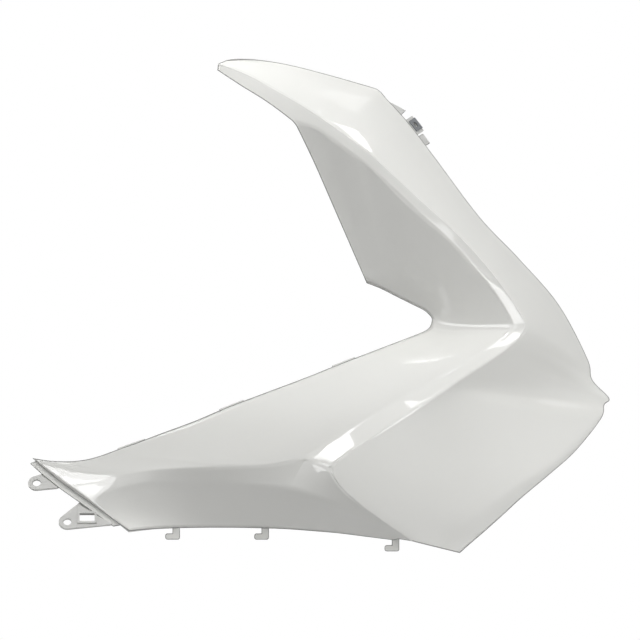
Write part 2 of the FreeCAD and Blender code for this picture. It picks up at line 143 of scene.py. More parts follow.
skin = {
    "wall": 2.6,
    "crest": [
        (218.5, 64, 79.5), (248, 75, 84), (273, 89, 87), (304, 107, 88), (321, 118.5, 87.7),
        (338, 130, 87), (355, 143, 86.2), (374, 158, 85), (414, 195, 81), (455, 232, 76), (485, 264, 71),
        (510, 297, 66.5), (525.5, 323, 63), (519, 339, 64), (498, 355, 67), (460, 380, 72),
        (438, 394.5, 74.7), (415, 409, 77), (378, 433, 80), (345, 455, 82), (331, 470, 82), (346, 493, 80),
        (378, 517, 76), (412, 541, 70)],
    # numbers of the crest stations at which the line turns
    "bend": 3, "apex": 12, "corner": 20,
    # station of the outer edge, bulge of the band, width and drop of the edge fold
    "outerEdge": [
        ((227, 60.6, 77), 0.0, 2, 0.5), ((255, 59.8, 71), 1.0, 3, 1), ((290, 65, 61), 2.0, 6, 6.6),
        ((332, 75.4, 49), 3.0, 6, 6.6), ((366, 84.9, 38), 3.0, 6, 6.3), ((378.5, 88.9, 35), 3.0, 6, 6.5),
        ((387, 98.3, 35), 3.0, 6, 6.6), ((408, 121.5, 35), 3.0, 6, 7), ((434, 155.5, 37), 3.0, 6, 7.2),
        ((480, 217, 42), 2.5, 6, 8.5), ((520, 259, 34), 3.0, 6, 8), ((560, 305, 21), 3.5, 6, 6.6),
        ((589, 359, 9), 2.5, 6, 4.8), ((594, 380, 6), -2.0, 4, 2), ((611, 398.5, 4), -10.0, 9, 2.8),
        ((606.2, 405.5, 6), -7.5, 6, 2), ((602.5, 419.5, 12), 0.5, 6, 4), ((576, 452, 27), 2.0, 8, 6),
        ((548, 476.5, 40), 3.0, 11, 7), ((522, 498, 49), 4.0, 15, 7), ((500, 518, 54), 4.0, 18, 7),
        ((483, 533, 57), 3.0, 19, 6), ((470, 544, 59), 2.0, 18, 4), ((460, 553, 60), 1.0, 14, 3)],
    # shares of the way from the crest to the edge fold, and the least share that the fold leaves
    "bandShares": [0.0, 0.28, 0.55, 0.8, 0.92, 1.0], "leastFoldShare": 0.6,
    "stripFoot": [
        (217.5, 70.5, 78), (241, 86, 82.5), (268, 103, 85), (295, 123.5, 84.5), (315, 128.5, 85),
        (334, 141.5, 84.5), (351, 154, 83.6), (368, 166, 82.4), (406, 203, 79), (448, 240, 74),
        (472, 266, 69), (495, 291.5, 64.5), (513, 324, 58.5), (508, 333, 58), (489, 346, 59),
        (447, 373, 63), (424, 386.5, 65.6), (401, 399, 68), (361, 421, 71.5), (331, 441, 72),
        (306, 457, 71)],
    "notch": [
        (367, 283, 5), (373, 285.2, 5.5), (380, 288, 6), (388, 291.9, 6.5), (397, 296.5, 7),
        (413, 304.5, 8), (424, 310, 9), (430, 315, 10), (432.5, 319, 11), (432, 323, 12)],
    "rearEdge": [
        (295, 123.5, 84.5), (314, 162.5, 64.5), (331, 201, 44.5), (349, 242, 24.5), (367, 283, 5)],
    "valley": [
        (513, 324, 58.5), (493, 325, 48), (473, 326, 36.5), (453, 326, 24.5), (432, 323, 12)],
    "legEdge": [
        (432, 323, 12), (429.5, 328, 13), (421, 333, 16), (387, 346, 30), (366, 354, 35.5), (345, 362, 40),
        (305, 378, 46), (265, 393, 50), (228, 407, 51.5), (195, 421, 51), (160, 434, 47), (125, 447, 39),
        (80, 461, 25), (31, 459, 8)],
    "ridge": [
        (306, 457, 71), (271, 465, 68.5), (225, 467, 65), (180, 468, 59), (135, 472, 49), (70, 490, 28)],
    "legEnd": [
        (70, 490, 28), (60, 483, 23), (50.5, 475.5, 18), (40.5, 467.5, 13), (31, 459, 8)],
    "legBulge": 2.0,
    "sweep": [
        (86, 501, 35), (135, 483, 50), (180, 482, 53), (225, 483, 57.5), (262, 485.5, 60.5),
        (289, 489, 64), (316, 497, 67.5), (338, 506, 69), (368, 521.5, 67), (399, 539, 63.5)],
    "bottomEdge": [
        (129, 531, 52), (165, 529, 40), (198, 528.5, 31), (228, 528.5, 27), (258, 529, 26), (287, 530, 27),
        (315, 532, 31), (340, 534, 38), (368, 537.3, 48), (394, 540.3, 59)],
    # how far from each bend line the skin is rounded, and how that grows towards the rear end
    "rounds": {
        "crest": 1.4, "foot": 2.2, "valley": 4.0, "ridge": 2.5, "sweep": 3.5, "facet": 2.0, "shoulder": 16.0},
    "fade": {"from": 215, "to": 125, "radius": 16.0},
    "passes": 90, "pull": 0.5,
    # the shoulder runs across the band at one crest station, between two columns of the grid
    "shoulderRow": 5, "shoulderColumns": (8, 37),
    # steps of the grids, how fast they close up at a bend line, and the band station where even steps begin
    "steps": {"station": 12, "strip": 16, "band": 30, "edge": 24, "inward": 34, "down": 24, "under": 20},
    "powers": {"station": 1.8, "band": 2.0, "inward": 1.7, "under": 1.6},
    "closing": 0.85, "evenFrom": 3.3,
    # points closer than this are joined, and distances are worked out for so many points at a time
    "weld": 0.002, "chunk": 4000,
}


def bandGrid():
    # stations between crest and fold line, raised by the bulge, and the outer edge beyond the fold
    crest = place(skin["crest"])
    edge = place([row[0] for row in skin["outerEdge"]])
    bulge, fold, drop = np.array([row[1:] for row in skin["outerEdge"]]).T
    width = np.hypot(edge[:, 0] - crest[:, 0], edge[:, 2] - crest[:, 2])
    share = np.maximum(skin["leastFoldShare"], 1 - fold / width)[:, None]
    foldLine = crest + (edge - crest) * share
    foldLine[:, 1] = edge[:, 1] - drop
    s = np.array(skin["bandShares"])
    grid = crest[:, None] + (foldLine - crest)[:, None] * s[None, :, None]
    grid[..., 1] -= bulge[:, None] * 4 * s * (1 - s)
    return np.concatenate([grid, edge[:, None]], 1)


def recessGrid(foot):
    # stations of the recess, from the strip's foot to the notch
    near = foot[skin["bend"]:skin["apex"] + 1]
    return blended(place(skin["rearEdge"]), place(skin["valley"]), near, place(skin["notch"]), 0)


def legGrid(foot, ridge):
    # stations of the leg, from the strip's foot and the ridge to the leg's upper edge
    near = np.concatenate([foot[skin["apex"]:skin["corner"]], ridge])
    far = place(skin["legEdge"])
    return blended(place(skin["valley"]), place(skin["legEnd"]), near, far, skin["legBulge"])


def stationSteps(count, creases):
    # even steps in each station interval, closer together beside a crease station
    even = np.arange(skin["steps"]["station"]) / skin["steps"]["station"]
    power = skin["powers"]["station"]
    found = []
    for i in range(count - 1):
        if i in creases:
            found.append(i + even ** power)
        elif i + 1 in creases:
            found.append(i + 1 - (1 - even) ** power)
        else:
            found.append(i + even)
    return np.append(np.concatenate(found), count - 1)


def twoSided(name):
    # steps from 0 to 1 that close up at both ends
    t = np.linspace(0, 1, skin["steps"][name])
    return t - skin["closing"] * np.sin(2 * math.pi * t) / (2 * math.pi)


def oneSided(name, last):
    # steps from 0 to last that close up at 0
    return last * np.linspace(0, 1, skin["steps"][name]) ** skin["powers"][name]


def bandSteps():
    # steps across the band that close up at the crest, then even ones over the edge fold
    split, last = skin["evenFrom"], len(skin["bandShares"])
    return np.concatenate([oneSided("band", split)[:-1], np.linspace(split, last, skin["steps"]["edge"])])


def skinPatches():
    # the outer face as grids that share their bend lines, and those lines
    bend, apex, corner = skin["bend"], skin["apex"], skin["corner"]
    crestSteps = stationSteps(len(skin["crest"]), (bend, apex, corner))
    ridgeSteps = stationSteps(len(skin["ridge"]), (0,))
    acrossStrip = twoSided("strip")
    inward = oneSided("inward", len(skin["valley"]) - 1)
    down = twoSided("down")
    under = oneSided("under", 1)
    blade = crestSteps[crestSteps <= bend]
    upper = crestSteps[(crestSteps >= bend) & (crestSteps <= apex)]
    lower = crestSteps[(crestSteps >= apex) & (crestSteps <= corner)]
    cheek = crestSteps[crestSteps >= corner]
    legSteps = np.concatenate([lower - apex, ridgeSteps[1:] + corner - apex])
    foot = place(skin["stripFoot"])
    crest = along(place(skin["crest"]), crestSteps)
    bandFace = surface(bandGrid(), crestSteps, bandSteps())
    recessFace = surface(recessGrid(foot), upper - bend, inward)
    legFace = surface(legGrid(foot, place(skin["ridge"])), legSteps, inward)
    bladeFoot = along(foot[:bend + 1], blade)
    turn = len(lower) - 1
    ridgeLine = legFace[turn:, 0][::-1]
    facetLine = foot[corner] + (place(skin["crest"][corner]) - foot[corner]) * acrossStrip[:, None]
    footLine = np.concatenate([bladeFoot, recessFace[1:, 0], legFace[1:turn + 1, 0]])
    # the sweep line's stations run below the ridge, then below the facet, then below the cheek
    ridgeEnd = len(skin["ridge"]) - 1
    belowCheek = ridgeEnd + 1 + cheek[1:] - corner
    sweepSteps = np.concatenate([(ridgeEnd - ridgeSteps)[::-1], ridgeEnd + acrossStrip[1:], belowCheek])
    sweepLine = along(place(skin["sweep"]), sweepSteps)
    bottomLine = along(place(skin["bottomEdge"]), sweepSteps)
    first, second = len(ridgeSteps) - 1, len(ridgeSteps) + len(acrossStrip) - 2
    shoulder = bandFace[np.searchsorted(crestSteps, skin["shoulderRow"])]
    patches = [
        bandFace,
        ruled(crest[:len(footLine)], footLine, acrossStrip),
        recessFace,
        legFace,
        ruled(ridgeLine, sweepLine[:first + 1], down),
        ruled(facetLine, sweepLine[first:second + 1], down),
        ruled(crest[crestSteps >= corner], sweepLine[second:], down),
        ruled(sweepLine, bottomLine, under),
    ]
    creases = {
        "crest": crest, "foot": footLine[len(bladeFoot) - 1:], "valley": legFace[0], "ridge": ridgeLine,
        "sweep": sweepLine, "facet": facetLine, "shoulder": shoulder[slice(*skin["shoulderColumns"])],
    }
    return patches, creases


def welded(patches):
    # one list of points and quads, with coincident points joined and all faces turned outward
    points, quads, start = [], [], 0
    for grid in patches:
        rows, columns = grid.shape[:2]
        corners = quadsOf(rows, columns, start)
        flat = grid.reshape(-1, 3)
        q = flat[corners - start]
        normal = np.cross(q[:, 2] - q[:, 0], q[:, 3] - q[:, 1]).sum(0)
        quads.append(corners if normal[1] < 0 else corners[:, ::-1])
        points.append(flat)
        start += len(flat)
    points, quads = np.concatenate(points), np.concatenate(quads)
    keys = np.round(points / skin["weld"]).astype(np.int64)
    unused, firstOf, joined = np.unique(keys, axis=0, return_index=True, return_inverse=True)
    return points[firstOf], joined.reshape(-1)[quads]


def nearness(points, line, radius):
    # 1 on a line and 0 at the radius of the line's nearest place; the radius grows along the fade
    fade, chunk = skin["fade"], skin["chunk"]
    across = line[:, 0] + sheetOrigin[0]
    grown = np.clip((fade["from"] - across) / (fade["from"] - fade["to"]), 0, 1)
    radii = radius + (fade["radius"] - radius) * grown
    found = []
    for i in range(0, len(points), chunk):
        squares = ((points[i:i + chunk, None] - line[None]) ** 2).sum(-1)
        found.append((squares / radii ** 2).min(1))
    return 1 - np.concatenate(found)


def rounded(points, quads, creases):
    # every pass moves a point near a bend line part of the way to the mean of its neighbours;
    # points of the free edge only look along that edge
    edges = np.concatenate([quads[:, [0, 1]], quads[:, [1, 2]], quads[:, [2, 3]], quads[:, [3, 0]]])
    edges, uses = np.unique(np.sort(edges, 1), axis=0, return_counts=True)
    edges, uses = edges[edges[:, 0] != edges[:, 1]], uses[edges[:, 0] != edges[:, 1]]
    free = np.zeros(len(points), bool)
    free[edges[uses == 1].ravel()] = True
    source = np.concatenate([edges[:, 0], edges[:, 1]])
    target = np.concatenate([edges[:, 1], edges[:, 0]])
    keep = ~free[source] | np.tile(uses == 1, 2)
    source, target = source[keep], target[keep]
    degree = np.bincount(source, minlength=len(points))[:, None]
    weight = np.zeros(len(points))
    for name, line in creases.items():
        weight = np.maximum(weight, nearness(points, line, skin["rounds"][name]))
    weight = skin["pull"] * np.clip(weight, 0, 1)[:, None]
    for n in range(skin["passes"]):
        mean = np.stack([np.bincount(source, points[target, k], len(points)) for k in range(3)], 1) / degree
        points = points + weight * (mean - points)
    return points


def normalsOf(points, quads):
    # sum of the facings of the quads round each point, made one long
    corner = points[quads]
    facing = np.cross(corner[:, 2] - corner[:, 0], corner[:, 3] - corner[:, 1])
    normal = np.zeros_like(points)
    for k in range(4):
        np.add.at(normal, quads[:, k], facing)
    leastLength = 1e-12
    return normal / np.maximum(np.linalg.norm(normal, axis=1), leastLength)[:, None]


def freeLoop(quads):
    # points round the free edge in order: its sides belong to one face only
    sides = np.concatenate([quads[:, [k, (k + 1) % 4]] for k in range(4)])
    sides = sides[sides[:, 0] != sides[:, 1]]
    unused, which, uses = np.unique(np.sort(sides, 1), axis=0, return_inverse=True, return_counts=True)
    after = dict(sides[uses[which.reshape(-1)] == 1].tolist())
    loop = [next(iter(after))]
    while after[loop[-1]] != loop[0]:
        loop.append(after[loop[-1]])
    return loop


def tube(name, middle, normal, run, size, closed, material):
    # round section swept along a line that lies in a surface, moved into the surface by its inset
    aside = np.cross(normal, run)
    aside /= np.linalg.norm(aside, axis=1)[:, None]
    turn = np.linspace(0, 2 * math.pi, size["sides"], endpoint=False)[None, :, None]
    middle = middle + size["aside"] * aside - size["inset"] * normal
    ring = middle[:, None] + size["radius"] * (np.cos(turn) * normal[:, None] + np.sin(turn) * aside[:, None])
    i = np.arange(ring.shape[0] * ring.shape[1]).reshape(ring.shape[:2])
    j = np.roll(i, -1, 0)
    faces = np.stack([i, j, np.roll(j, -1, 1), np.roll(i, -1, 1)], -1)
    faces = faces if closed else faces[:-1]
    return meshPiece(name, ring.reshape(-1, 3), faces.reshape(-1, 4), [material])


# size of the dark roll that paints a shade line along the skin's free edge
roll = {"radius": 0.6, "inset": 0.4, "aside": 0.4, "sides": 8, "passes": 20}


def edgeShadeRoll(points, quads, normals, material):
    # fine roll along the free edge of the skin in the dark edge material, a painted shade line; its facings
    # are evened out with their two neighbours
    loop = freeLoop(quads)
    middle, facing = points[loop], normals[loop]
    for n in range(roll["passes"]):
        facing = (np.roll(facing, 1, 0) + 2 * facing + np.roll(facing, -1, 0)) / 4
    facing /= np.linalg.norm(facing, axis=1)[:, None]
    run = np.roll(middle, -1, 0) - np.roll(middle, 1, 0)
    return tube("edgeShadeRoll", middle, facing, run, roll, True, material)


bead = {"radius": 0.9, "inset": 0.65, "aside": 0.0, "sides": 16}


def crestBead(points, normals, sharp, crest, material):
    # bead on the rounded crest: the skin's points that lay on the sharp crest line
    on = [((sharp - spot) ** 2).sum(1).argmin() for spot in crest]
    middle = points[on]
    return tube("crestBead", middle, normals[on], np.gradient(middle, axis=0), bead, False, material)


def makeSkin(outside, inside, edge):
    # the rounded skin with its wall, the roll on its free edge in the dark edge material that paints a shade
    # line there, and the bead on its crest
    patches, creases = skinPatches()
    sharp, quads = welded(patches)
    points = rounded(sharp, quads, creases)
    normals = normalsOf(points, quads)
    piece = meshPiece("panelSkin", points, quads, [outside, inside])
    wall = addWall(piece, skin["wall"])
    wall.material_offset = 1
    wall.material_offset_rim = 0
    wall.use_quality_normals = True
    line = crestBead(points, normals, sharp, creases["crest"], outside)
    return [piece, edgeShadeRoll(points, quads, normals, edge), line]


lineSearch = {"samples": 4001, "nudge": 1e-3}


def lineAt(stations, across):
    # point and direction on a smooth line where it reaches a place across
    points = place(stations)
    t = np.linspace(0, len(points) - 1, lineSearch["samples"])
    line = along(points, t)
    order = np.argsort(line[:, 0])
    found = np.interp(across - sheetOrigin[0], line[order, 0], t[order])
    nudge = lineSearch["nudge"]
    before, point, after = along(points, np.array([found - nudge, found, found + nudge]))
    return point, after - before


flange = {
    "wall": 2.2, "step": 1.8, "reach": 6.0, "root": 4.0,
    "rootRun": (35.2, 123.5), "edgeRun": (31, 115.7), "stations": 40, "rows": 5,
}


def rearFlange(materials):
    # strip along the rear end, set below the outer face: its root and its free edge, joined straight
    end = skin["legEnd"][::-1] + [skin["sweep"][0], skin["bottomEdge"][0]]
    line = place(end[-1]) - place(end[0])
    rearward = unitVector((line[2], 0, -line[0]))
    outward = unitVector(np.cross(line, rearward))
    outward = outward * -np.sign(outward[1])
    sides = []
    for run, reach in ((flange["rootRun"], -flange["root"]), (flange["edgeRun"], flange["reach"])):
        row = [lineAt(end, across)[0] for across in np.linspace(*run, flange["stations"])]
        sides.append(np.array(row) - outward * flange["step"] + rearward * reach)
    grid = ruled(sides[0], sides[1], np.linspace(0, 1, flange["rows"]))
    points, quads = welded([grid])
    piece = meshPiece("rearFlange", points, quads, materials)
    addWall(piece, flange["wall"])
    addBevel(piece)
    return piece


plate = {"directions": 96, "circle": 48, "angleDigits": 4}


def box2d(length, height):
    # corners of a rectangle about its middle
    x, y = length / 2, height / 2
    return np.array([(-x, -y), (x, -y), (x, y), (-x, y)])


def circle2d(radius):
    # even turns about the middle
    turn = np.linspace(0, 2 * math.pi, plate["circle"], endpoint=False)
    return radius * np.stack([np.cos(turn), np.sin(turn)], 1)


def reachOf(outline, angles):
    # how far an outline lies from its middle in each direction: the nearest side that the ray crosses
    parallel, slack = 1e-9, 1e-6
    a, b = outline, np.roll(outline, -1, 0)
    d = np.stack([np.cos(angles), np.sin(angles)], 1)[:, None]
    e = (b - a)[None]
    cross = d[..., 0] * e[..., 1] - d[..., 1] * e[..., 0]
    cross = np.where(np.abs(cross) < parallel, parallel, cross)
    far = (a[None, :, 0] * e[..., 1] - a[None, :, 1] * e[..., 0]) / cross
    share = (a[None, :, 0] * d[..., 1] - a[None, :, 1] * d[..., 0]) / cross
    crossed = (far > slack) & (share > -slack) & (share < 1 + slack)
    return np.where(crossed, far, np.inf).min(1)


def ringPlate(name, centre, axes, outline, hole, heights, materials):
    # plate with a hole: inner and outer reach in every direction, on the top and the bottom face
    forward, upward, outward = axes
    top, bottom = heights
    corners = np.concatenate([outline, hole])
    even = np.linspace(-math.pi, math.pi, plate["directions"], endpoint=False)
    angles = np.concatenate([even, np.arctan2(corners[:, 1], corners[:, 0])])
    angles = np.unique(np.round(angles, plate["angleDigits"]))
    direction = np.cos(angles)[:, None] * forward + np.sin(angles)[:, None] * upward
    near, far = reachOf(hole, angles)[:, None], reachOf(outline, angles)[:, None]
    ring = [near * direction + top * outward, far * direction + top * outward,
            far * direction + bottom * outward, near * direction + bottom * outward]
    points = centre + np.stack(ring, 1)
    count = len(angles)
    i = np.arange(count * 4).reshape(count, 4)
    j, k = np.roll(i, -1, 0), np.roll(i, -1, 1)
    quads = np.stack([i, k, np.roll(j, -1, 1), j], -1).reshape(-1, 4)
    piece = meshPiece(name, points.reshape(-1, 3), quads, materials)
    addBevel(piece)
    return piece


ears = {
    "tilt": 38.0, "radius": 8.7, "holeRadius": 4.1, "arcSteps": 40,
    # the stations of the holes, and the ends of each ear on the flange
    "upper": {"hole": (35.3, 484.3, 16.3871), "root": [(46, 474), (57, 482.5), (60, 487), (56, 489.2)]},
    "lower": {"hole": sheetOrigin, "root": [(77, 505), (84, 500.5), (116, 524), (109, 525.6)]},
    # the web with the window begins at the dividing line beside the lower ear
    "windowCentre": (86.5, 519), "windowSize": (15.0, 10.0), "windowRim": 2.2, "rimHeight": 1.6,
    "divide": 76.5,
}


def earAxes():
    # forward, up the leaning plane of an ear, and out of it
    tilt = math.radians(ears["tilt"])
    upward = np.array([0, math.sin(tilt), math.cos(tilt)])
    return np.array([1.0, 0, 0]), upward, np.array([0, -math.cos(tilt), math.sin(tilt)])


def inEar(hole, point):
    # place in an ear's plane, from its hole: forward, and up the leaning plane
    return np.array([point[0] - hole[0], -(point[1] - hole[1]) / math.cos(math.radians(ears["tilt"]))])


def earOutline(ear):
    # round end about the hole, closed by the lines from the root that touch it
    points = [inEar(ear["hole"], point) for point in ear["root"]]
    radius = ears["radius"]
    ends = []
    for point, side in ((points[0], 1), (points[-1], -1)):
        ends.append(math.atan2(point[1], point[0]) + side * math.acos(radius / np.linalg.norm(point)))
    turn = np.linspace(ends[1] % (2 * math.pi), ends[0] % (2 * math.pi), ears["arcSteps"])
    arc = radius * np.stack([np.cos(turn), np.sin(turn)], 1)
    return np.concatenate([arc, points])


def clipped(outline, limit, keepAbove):
    # part of an outline on one side of an upright line
    kept = []
    for a, b in zip(outline, np.roll(outline, -1, 0)):
        insideA, insideB = (a[0] > limit) == keepAbove, (b[0] > limit) == keepAbove
        if insideA:
            kept.append(a)
        if insideA != insideB:
            kept.append(a + (b - a) * (limit - a[0]) / (b[0] - a[0]))
    return np.array(kept)


def makeEars(materials):
    # two screw ears, and beside the lower one a web with a rimmed window
    axes = earAxes()
    upper, lower = ears["upper"], ears["lower"]
    half = flange["wall"] / 2
    hole = circle2d(ears["holeRadius"])
    outline = earOutline(lower)
    limit = ears["divide"] - lower["hole"][0]
    shift = inEar(lower["hole"], ears["windowCentre"])
    centre = place(lower["hole"]) + shift[0] * axes[0] + shift[1] * axes[1]
    window = box2d(*ears["windowSize"])
    rim = box2d(*(size + 2 * ears["windowRim"] for size in ears["windowSize"]))
    plates = [
        ("upperEar", place(upper["hole"]), earOutline(upper), hole, half),
        ("lowerEar", place(lower["hole"]), clipped(outline, limit, False), hole, half),
        ("windowWeb", centre, clipped(outline, limit, True) - shift, window, half),
        ("windowRim", centre, rim, window, half + ears["rimHeight"]),
    ]
    return [ringPlate(name, middle, axes, outer, inner, (top, -half), materials)
            for name, middle, outer, inner, top in plates]


def prism(outline, direction, depth):
    # closed plate: an outline and its copy, two caps and a side for each edge
    outline = np.asarray(outline, float)
    count = len(outline)
    points = np.concatenate([outline, outline + np.asarray(direction) * depth])
    sides = [[i, (i + 1) % count, count + (i + 1) % count, count + i] for i in range(count)]
    return points, [list(range(count))[::-1], list(range(count, 2 * count))] + sides


def edgeFrame(stations, across, lean):
    # axes of a plate that leaves an edge: along it, inward with a lean, and the plate's outer side
    point, direction = lineAt(stations, across)
    forward = unitVector(direction)
    aside = unitVector((-forward[2], 0, forward[0]))
    aside = aside * np.sign(aside[2])
    tilt = math.radians(lean)
    leaning = aside * math.sin(tilt) + (0, math.cos(tilt), 0)
    reach = unitVector(leaning - forward * leaning.dot(forward))
    outer = np.cross(forward, reach)
    outer = outer * np.sign(outer.dot(aside))
    return point - outer * flange["step"], forward, reach, outer


def rooted(outline, root):
    # an outline whose points on the edge go back into the skin by the root
    return np.array([(s, q if q > 0 else -root) for s, q in outline])


def edgePlate(name, axes, outline, materials):
    # plate behind an edge: its outline along the edge and inward, thickened away from its outer side
    point, forward, reach, outer = axes
    points = [point + forward * s + reach * q for s, q in outline]
    piece = meshPiece(name, *prism(points, -outer, flange["wall"]), materials, False)
    addBevel(piece)
    return piece


tabs = {
    "lean": 28.0, "root": 3.0, "hole": 2.9, "holeInset": 8.0,
    # place across on the outer edge, and the outline as pairs of along the edge and inward
    "stay": (394.3, [(-11, 0), (11, 0), (11, 18), (-11, 1)]),
    "clip": (412, [(-9.5, 0), (9.5, 0), (9.5, 20), (-9.5, 20)]),
    "locating": (422.4, [(-6, 0), (6, 0), (6, 15), (-6, 15)]),
}


def makeTabs(materials):
    # two plain tabs, and the tab of the clip nut with its passage
    edge = [row[0] for row in skin["outerEdge"]]
    made = []
    for name in ("stay", "locating"):
        across, outline = tabs[name]
        axes = edgeFrame(edge, across, tabs["lean"])
        made.append(edgePlate(name + "Tab", axes, rooted(outline, tabs["root"]), materials))
    across, outline = tabs["clip"]
    point, forward, reach, outer = edgeFrame(edge, across, tabs["lean"])
    outline = rooted(outline, tabs["root"])
    middle = np.array([0, outline[:, 1].max() - tabs["holeInset"]])
    made.append(ringPlate("clipTab", point + reach * middle[1], (forward, reach, outer), outline - middle,
                          circle2d(tabs["hole"]), (0.0, -flange["wall"]), materials))
    return made


# places across on the leg's upper edge with the length of the lug there
lugs = {"places": [(345, 25), (231.5, 26), (128.9, 30)], "reach": 9.0, "lean": 20.0, "root": 1.0}


def makeLugs(materials):
    # square plates behind the leg's upper edge
    made = []
    for n, (across, length) in enumerate(lugs["places"]):
        half = length / 2
        outline = [(-half, 0), (half, 0), (half, lugs["reach"]), (-half, lugs["reach"])]
        axes = edgeFrame(skin["legEdge"], across, lugs["lean"])
        made.append(edgePlate("lug%d" % (n + 1), axes, rooted(outline, lugs["root"]), materials))
    return made


hooks = {
    "stems": [(175.8, 529, 37), (265, 529.3, 26.2), (395.6, 540.2, 59.4)], "stem": 7.5, "foot": 14.8,
    "footHeight": 6.3, "gap": 5.0, "thick": 3.2, "root": 3.0, "step": 0.9, "round": 2.4, "roundSteps": 7,
}


def roundedCorner(before, corner, after, radius):
    # arc that replaces a square corner
    a, b = unitVector(before - corner), unitVector(after - corner)
    turn = np.linspace(0, math.pi / 2, hooks["roundSteps"])[:, None]
    return corner + radius * ((1 - np.sin(turn)) * a + (1 - np.cos(turn)) * b)


def makeHook(number, station, materials):
    # stem below the bottom edge and a foot with rounded corners that points to the rear
    left, right = -hooks["stem"] / 2, hooks["stem"] / 2
    toe, heel = right - hooks["foot"], -hooks["gap"] - hooks["footHeight"]
    root = np.array([(left, hooks["root"]), (right, hooks["root"])])
    foot = np.array([(right, heel), (toe, heel), (toe, -hooks["gap"])])
    inner = np.array([(left, -hooks["gap"])])
    corners = np.concatenate([root[-1:], foot, inner])
    arcs = [roundedCorner(*three, hooks["round"]) for three in zip(corners, corners[1:], corners[2:])]
    outline = np.concatenate([root] + arcs + [inner])
    flat = np.stack([outline[:, 0], np.zeros(len(outline)), outline[:, 1]], 1)
    points, faces = prism(place(station) + flat + (0, hooks["step"], 0), (0, 1, 0), hooks["thick"])
    piece = meshPiece("hook%d" % number, points, faces, materials, False)
    addBevel(piece)
    return piece


class Shade:
    # a shader value: operators make Math nodes, and node() makes any other node
    def __init__(self, tree, socket):
        self.tree = tree
        self.socket = socket

    def math(self, operation, other, swap=False):
        pair = (other, self) if swap else (self, other)
        return Shade.node(self.tree, "ShaderNodeMath", {"operation": operation}, dict(enumerate(pair)))

    def __add__(self, other):
        return self.math("ADD", other)

    def __radd__(self, other):
        return self.math("ADD", other, True)

    def __sub__(self, other):
        return self.math("SUBTRACT", other)

    def __rsub__(self, other):
        return self.math("SUBTRACT", other, True)

    def __mul__(self, other):
        return self.math("MULTIPLY", other)

    def __rmul__(self, other):
        return self.math("MULTIPLY", other, True)

    def __truediv__(self, other):
        return self.math("DIVIDE", other)

    def __rtruediv__(self, other):
        return self.math("DIVIDE", other, True)

    @staticmethod
    def node(tree, kind, settings, inputs, output=0):
        made = tree.nodes.new(kind)
        for name, value in settings.items():
            setattr(made, name, value)
        for name, value in inputs.items():
            if isinstance(value, Shade):
                tree.links.new(value.socket, made.inputs[name])
            else:
                made.inputs[name].default_value = value
        return Shade(tree, made.outputs[output])


def newMaterial(name):
    # a material with an empty tree
    material = bpy.data.materials.new(name)
    material.use_nodes = True
    material.node_tree.nodes.clear()
    return material, material.node_tree


def closeTree(tree, kind, shader):
    # the shader goes to the surface of the tree's output
    out = tree.nodes.new(kind)
    tree.links.new(shader.socket, out.inputs["Surface"])


noiseDetail = {"cloud": 2.0, "grain": 1.0, "flake": 0.0}


def noise(tree, kind, scale):
    # noise in the object's own coordinates, from 0 to 1
    where = Shade.node(tree, "ShaderNodeTexCoord", {}, {}, "Object")
    inputs = {"Vector": where, "Scale": scale, "Detail": noiseDetail[kind]}
    return Shade.node(tree, "ShaderNodeTexNoise", {}, inputs)


def mixed(tree, factor, tones):
    # colour between two tones; a Mix node's sockets 0, 6 and 7 are then the factor and the colours, and
    # its output 2 is the result
    low, high = tones
    inputs = {0: factor, 6: (*low, 1), 7: (*high, 1)}
    return Shade.node(tree, "ShaderNodeMix", {"data_type": "RGBA"}, inputs, 2)


def bumped(tree, height, look):
    # normal tilted by the slope of a height
    inputs = {"Strength": look["bump"], "Distance": look["bumpDepth"], "Height": height}
    return Shade.node(tree, "ShaderNodeBump", {}, inputs)


def principled(material, tree, inputs):
    # the material closed with one surface shader
    shader = Shade.node(tree, "ShaderNodeBsdfPrincipled", {}, inputs)
    closeTree(tree, "ShaderNodeOutputMaterial", shader)
    return material


pearlLook = {
    "tones": ((0.775, 0.775, 0.745), (0.82, 0.82, 0.79)), "cloud": 14.0, "flake": 2600.0, "peel": 420.0,
    "flakeShare": 0.5, "roughness": 0.34, "flakeRoughness": 0.08, "bump": 0.05, "bumpDepth": 0.0004,
    "coat": 1.0, "coatRoughness": 0.03, "ior": 1.48, "specular": 0.15,
}


def pearlWhite():
    # colour from a soft cloud and fine flakes, under a clear coat with a faint peel
    look = pearlLook
    material, tree = newMaterial("pearlWhite")
    cloud = noise(tree, "cloud", look["cloud"])
    flake = noise(tree, "flake", look["flake"])
    peel = noise(tree, "grain", look["peel"])
    factor = cloud * (1 - look["flakeShare"]) + flake * look["flakeShare"]
    return principled(material, tree, {
        "Base Color": mixed(tree, factor, look["tones"]),
        "Roughness": look["roughness"] + flake * look["flakeRoughness"],
        "Normal": bumped(tree, peel, look),
        "Coat Weight": look["coat"], "Coat Roughness": look["coatRoughness"],
        "IOR": look["ior"], "Specular IOR Level": look["specular"]})


plainLooks = {
    # bare moulding without the coat; its tone is set darker than the inner plastic's as painted shade
    "bareShadedPlastic": {
        "tones": ((0.58, 0.58, 0.56), (0.65, 0.65, 0.63)), "cloud": 40.0, "grain": 900.0,
        "roughness": 0.38, "grainRoughness": 0.12, "bump": 0.1, "bumpDepth": 0.0004},
    "innerPlastic": {
        "tones": ((0.72, 0.72, 0.70), (0.78, 0.78, 0.76)), "cloud": 30.0, "grain": 900.0,
        "roughness": 0.45, "grainRoughness": 0.15, "bump": 0.12, "bumpDepth": 0.0004},
    # dark grey that paints the shade line seen along edges, bevels and the free edge of the skin
    "paintedEdgeShade": {
        "tones": ((0.24, 0.24, 0.235), (0.3, 0.3, 0.29)), "cloud": 60.0, "grain": 900.0,
        "roughness": 0.4, "grainRoughness": 0.15, "bump": 0.1, "bumpDepth": 0.0003},
}


